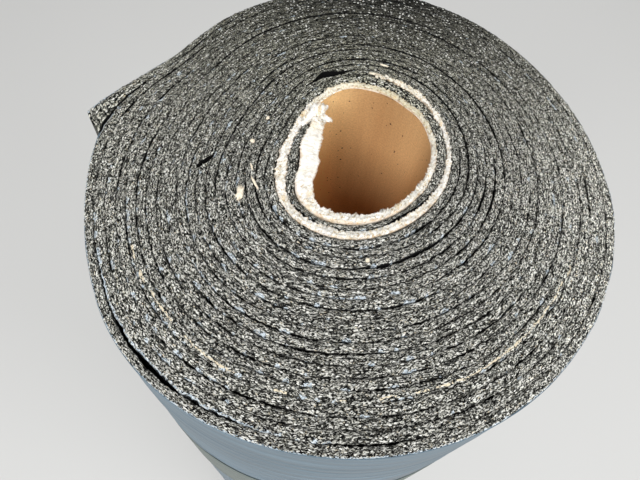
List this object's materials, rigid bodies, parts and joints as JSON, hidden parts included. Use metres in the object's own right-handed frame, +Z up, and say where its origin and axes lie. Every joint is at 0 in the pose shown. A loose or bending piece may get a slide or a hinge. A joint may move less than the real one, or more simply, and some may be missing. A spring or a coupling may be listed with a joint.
{
  "type": "roll of roofing felt",
  "caption": "Roll of mineral-surfaced bitumen roofing felt standing on its end, wound on a torn cardboard core strip and held by wrap bands.",
  "frame": {"origin": "middle of the roll's outline on the floor it stands on", "axes": "+Z up along the roll, +X and +Y across it, with the lap end of the felt on the -X side"},
  "size_m": [0.242, 0.2589, 1.0015],
  "materials": {
    "felt": "matte mineral and bitumen edge, with thin blue-grey film on the outside",
    "core_card": "raw brown card with a torn pale edge",
    "wrap": "matte olive grey"
  },
  "bodies": {
    "root": {"felt_roll": "felt", "cardboard_core": "core_card", "lower_band": "wrap", "upper_band": "wrap"}
  },
  "joints": []
}
